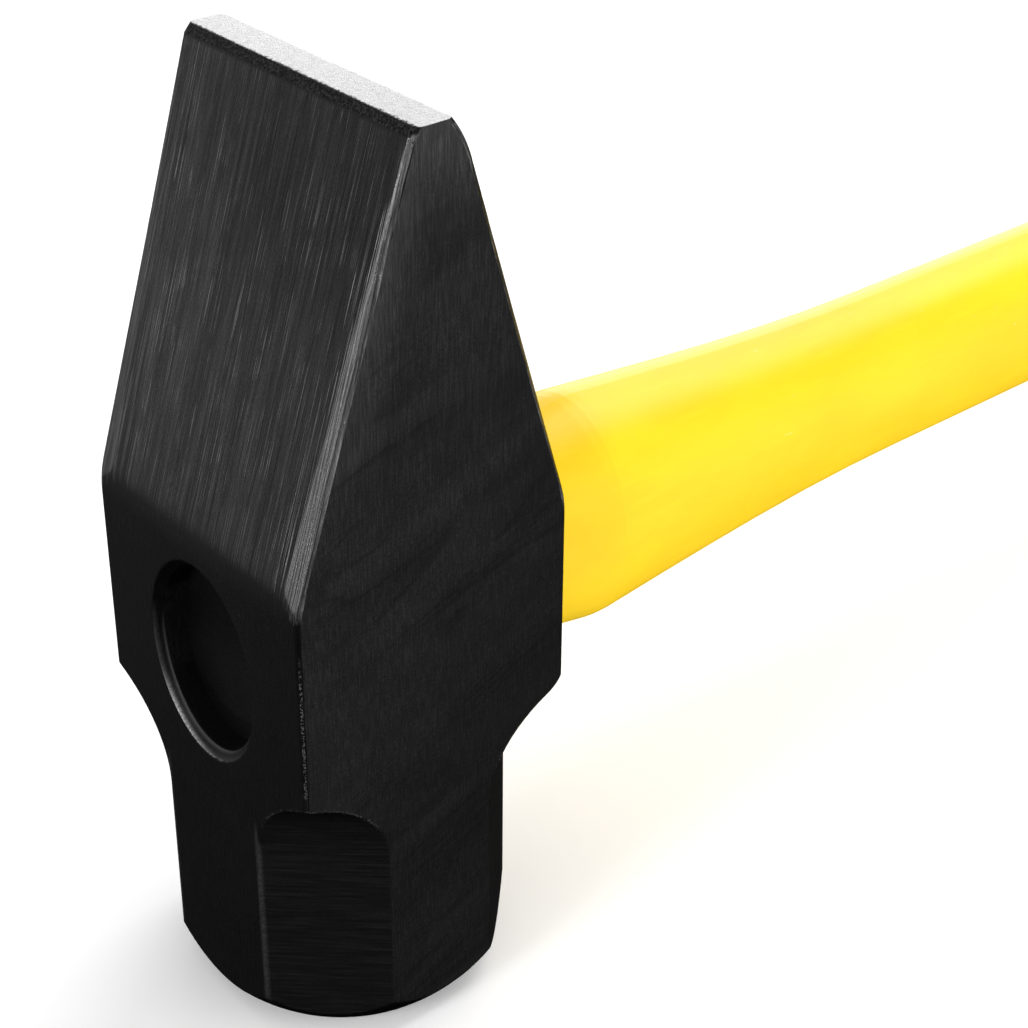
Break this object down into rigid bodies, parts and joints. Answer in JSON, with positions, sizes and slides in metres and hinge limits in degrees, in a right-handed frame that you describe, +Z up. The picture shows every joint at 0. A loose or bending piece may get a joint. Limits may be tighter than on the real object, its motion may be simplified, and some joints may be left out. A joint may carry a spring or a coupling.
{
  "type": "brick hammer",
  "caption": "Brick hammer with a forged steel head, octagonal striking poll and cross-wise blade, on an oval fibreglass handle with a rubber grip.",
  "frame": {"origin": "centre of the flat striking face, on the head's axis", "axes": "+Z up the head from the striking face to the blade, +X along the handle from the head to the grip, the cheeks face -Y and +Y"},
  "size_m": [0.355, 0.0458, 0.1323],
  "materials": {
    "forged_head": "satin black over forged steel, bare ground blade end and belt-ground slopes",
    "fibreglass_core": "pultruded fibreglass, matt",
    "yellow_jacket": "glossy yellow moulded jacket",
    "black_resin": "cast black resin",
    "seal_putty": "dark sealing putty, matt",
    "black_rubber": "matt moulded rubber"
  },
  "bodies": {
    "root": {"head": "forged_head", "handle_core": "fibreglass_core", "handle_jacket": "yellow_jacket", "eye_resin": "black_resin", "eye_seal": "seal_putty", "grip": "black_rubber"}
  },
  "joints": []
}
